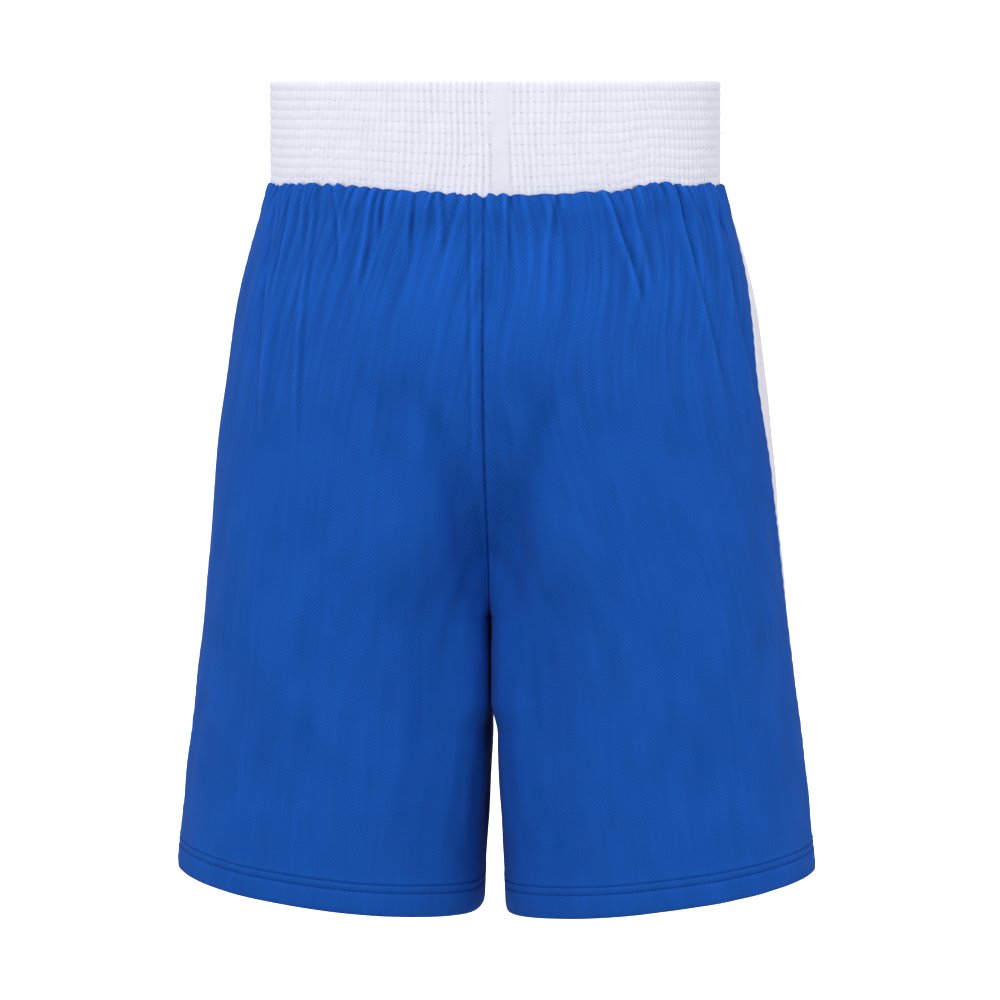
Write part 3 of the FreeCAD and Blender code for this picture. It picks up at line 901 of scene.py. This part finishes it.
def bump(tree, shader, height, distance, strength=1.0):
    node = tree.nodes.new("ShaderNodeBump")
    node.inputs["Distance"].default_value = distance * MM
    node.inputs["Strength"].default_value = strength
    tree.links.new(height, node.inputs["Height"])
    tree.links.new(node.outputs[0], shader.inputs["Normal"])


def paint_relief_shade(tree, shade, amount):
    """Paints light and shade into the colour: painted highlight on ridges and painted shade in creases, by
    the height that each point of the cloth stands out.
    """
    ridge = tree.nodes.new("ShaderNodeAttribute")
    ridge.attribute_name = "ridge"
    # painted shade and highlight: the colour factor is raised on ridges and lowered in creases
    return math_node(tree, "MULTIPLY_ADD", ridge.outputs["Fac"], amount, shade)


def birdseye(name):
    """Blue sports mesh: raised knots in staggered rows, lighter than the yarn between, and faint streaks of
    fine wrinkles that are bumped and also painted into the colour as their highlights and shade.
    """
    material, tree, shader = new_material(name, BLUE, 0.9, sheen=0.02, specular=0.06)
    place, across, along = cloth_coordinates(tree)
    staggered = math_node(tree, "MULTIPLY", wave(tree, across, BIRDSEYE), wave(tree, along, BIRDSEYE))
    knots = math_node(tree, "MULTIPLY_ADD", staggered, 0.5, 0.5)
    stretch = tree.nodes.new("ShaderNodeVectorMath")
    stretch.operation = "MULTIPLY"
    across_streaks, down_streaks = 0.22, 0.012
    stretch.inputs[1].default_value = (across_streaks, down_streaks, 1)
    tree.links.new(place, stretch.inputs[0])
    # streaks of fine wrinkles, strongest near the waist: bumped, and painted into the colour as highlight and
    # shade
    streaks = math_node(tree, "SUBTRACT", noise(tree, stretch.outputs[0], 1.0, 3.0), 0.5)
    near_waist = math_node(tree, "SMOOTH_MIN", math_node(tree, "MULTIPLY_ADD", along, -0.007, 1.9), 1, 0.2)
    near_waist = math_node(tree, "MAXIMUM", near_waist, 0.25)
    streaks = math_node(tree, "MULTIPLY", streaks, near_waist)
    # random tone of the cloth, with the wrinkle streaks' painted highlight and shade added
    cloudy = math_node(tree, "MULTIPLY_ADD", noise(tree, place, 0.02), 0.35, streaks)
    shade = math_node(tree, "ADD", math_node(tree, "MULTIPLY_ADD", knots, 0.4, 0.125), cloudy)
    # painted highlight on fold ridges and painted shade in creases, from the ridge attribute
    tint(tree, shader, paint_relief_shade(tree, shade, 0.5), [c * 0.55 for c in BLUE], [c * 1.45 for c in BLUE])
    yarn = math_node(tree, "MULTIPLY", wave(tree, across, 0.5), 0.15)
    height = math_node(tree, "MULTIPLY_ADD", streaks, 4.0, math_node(tree, "ADD", knots, yarn))
    bump(tree, shader, height, 0.16, 0.7)
    return material


def woven(name, color, pitch, roughness, depth=0.06):
    """A fine plain cloth or tape."""
    material, tree, shader = new_material(name, color, roughness, sheen=0.05, specular=0.15)
    place, across, along = cloth_coordinates(tree)
    weave = math_node(tree, "MULTIPLY", wave(tree, across, pitch), wave(tree, along, pitch))
    cloudy = noise(tree, place, 0.08)
    # painted highlight on ribs and ridges and painted shade in grooves and creases, where the piece has a
    # ridge attribute
    shade = paint_relief_shade(tree, math_node(tree, "MULTIPLY_ADD", weave, 0.12, cloudy), 0.9)
    tint(tree, shader, shade, [c * 0.93 for c in color], [min(1, c * 1.04) for c in color])
    bump(tree, shader, weave, depth, 0.6)
    return material


def overlocked(name, color):
    """A seam allowance covered in overlock thread, which lies in slanting loops."""
    material, tree, shader = new_material(name, color, 0.6, specular=0.3)
    _, across, along = cloth_coordinates(tree)
    slant = math_node(tree, "MULTIPLY_ADD", across, 0.25, along)
    loops = wave(tree, slant, OVERLOCK_LOOP)
    shade = math_node(tree, "MULTIPLY_ADD", loops, 0.5, 0.5)
    tint(tree, shader, shade, [c * 0.55 for c in color], [min(1, c * 1.25) for c in color])
    bump(tree, shader, loops, 0.3, 0.8)
    return material


def threads(name, color):
    """Twisted sewing thread."""
    material, tree, shader = new_material(name, color, 0.6, specular=0.12)
    place = tree.nodes.new("ShaderNodeTexCoord")
    cloudy = noise(tree, place.outputs["Object"], 900.0)
    tint(tree, shader, cloudy, [c * 0.84 for c in color], [min(1, c * 1.08) for c in color])
    bump(tree, shader, cloudy, 0.05, 0.5)
    return material


def dress():
    """Every piece with its material."""
    blue, white = birdseye("blue_mesh"), woven("white_cloth", WHITE, 0.9, 0.85)
    overlock = overlocked("blue_overlock", [c * 1.1 for c in BLUE])
    panels(blue, white)
    allowances(overlock)
    hems(blue, threads("blue_thread", [c * 0.6 for c in BLUE]))
    band_outer(white)
    band_lining(woven("lining_cloth", [c * 0.96 for c in WHITE], 1.2, 0.75))
    thread = threads("white_thread", WHITE)
    band_stitching(thread)
    label_cloth = woven("label_satin", (0.8, 0.8, 0.8), 0.5, 0.35, 0.03)
    elastic = threads("elastic_webbing", (0.75, 0.75, 0.75))
    inside_band(blue, white, overlock, thread, label_cloth, elastic)


# ---------------------------------------------------------------- studio


def area_light(name, place, aim, size, power):
    data = bpy.data.lights.new(name, "AREA")
    data.shape, data.size, data.energy = "DISK", size, power
    lamp = bpy.data.objects.new(name, data)
    bpy.context.collection.objects.link(lamp)
    lamp.location = place
    lamp.rotation_mode = "QUATERNION"
    lamp.rotation_quaternion = (Vector(aim) - lamp.location).to_track_quat("-Z", "Y")


def studio():
    """A pale round floor that curves up into a wall, and soft light."""
    scene = bpy.context.scene
    scene.view_settings.view_transform = "Standard"
    world = bpy.data.worlds.new("studio")
    scene.world = world
    world.use_nodes = True
    world.node_tree.nodes["Background"].inputs["Color"].default_value = (1, 1, 1, 1)
    world.node_tree.nodes["Background"].inputs["Strength"].default_value = 0.62

    floor_z, flat, bend, top = -0.9, 5.0, 1.2, 6.0
    profile = [(0.01, floor_z), (flat, floor_z)]
    steps = 12
    for step in range(1, steps + 1):
        a = math.radians(90 * step / steps)
        profile.append((flat + bend * math.sin(a), floor_z + bend * (1 - math.cos(a))))
    profile.append((flat + bend, top))
    turn = np.linspace(0, 2 * math.pi, 97)
    rings = [(radius * np.cos(turn), radius * np.sin(turn), z + 0 * turn) for radius, z in profile]
    points = np.array(rings).transpose(0, 2, 1)
    sheet = grid_mesh("floor_and_wall", points, turn, np.arange(len(profile))[:, None])
    material, _, shader = new_material("floor_and_wall", (0.85, 0.85, 0.85), 0.9)
    shader.inputs["Emission Color"].default_value = (1, 1, 1, 1)
    shader.inputs["Emission Strength"].default_value = 1.0
    sheet.data.materials.append(material)
    sheet.visible_diffuse = False
    sheet.visible_glossy = False
    sheet.visible_shadow = False

    middle = (0, 0, -0.27)
    area_light("key", (0.7, 2.2, 2.3), middle, 0.8, 53)
    area_light("right", (-2.6, 1.0, 0.3), middle, 1.6, 18)
    area_light("left", (2.6, 1.0, 0.3), middle, 1.6, 7)
    area_light("front", (0.4, -2.8, 1.6), middle, 1.8, 38)


def camera():
    """Level with the waistband's rim, a little to the wearer's right of straight behind."""
    data = bpy.data.cameras.new("camera")
    data.sensor_width, data.lens = 36, 170
    cam = bpy.data.objects.new("camera", data)
    bpy.context.collection.objects.link(cam)
    distance, turn = 3.1, math.radians(183.8)
    cam.location = (distance * math.sin(turn), -distance * math.cos(turn), 0)
    aim = Vector((-0.0033, 0, -0.2756))
    cam.rotation_mode = "QUATERNION"
    cam.rotation_quaternion = (aim - cam.location).to_track_quat("-Z", "Y")
    bpy.context.scene.camera = cam


camera()
studio()
dress()
